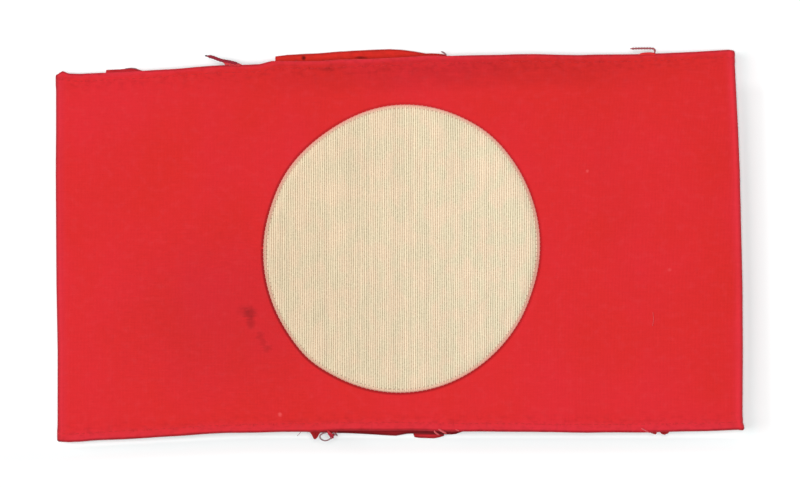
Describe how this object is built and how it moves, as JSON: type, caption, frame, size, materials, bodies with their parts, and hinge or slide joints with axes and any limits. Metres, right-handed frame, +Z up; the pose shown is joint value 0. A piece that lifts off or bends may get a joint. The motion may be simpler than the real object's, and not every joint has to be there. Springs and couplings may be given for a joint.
{
  "type": "armband",
  "caption": "Hemmed red cotton band lapped and sewn into a loop for a sleeve, pressed flat, with a round pale ribbed patch sewn on its front.",
  "frame": {"origin": "under the middle of the band, on the surface that it lies on", "axes": "+Z up out of the front of the band, +X along the band's flat length to the right of the front, +Y across it towards the hem that is on top in the picture"},
  "size_m": [0.2064, 0.118, 0.0098],
  "materials": {
    "red_cotton": "matt plain-woven cotton",
    "pale_ribbed_cloth": "cream ribbed cloth with a slight sheen, its ribs running up and down"
  },
  "bodies": {
    "root": {"band": "red_cotton", "patch": "pale_ribbed_cloth"}
  },
  "joints": []
}
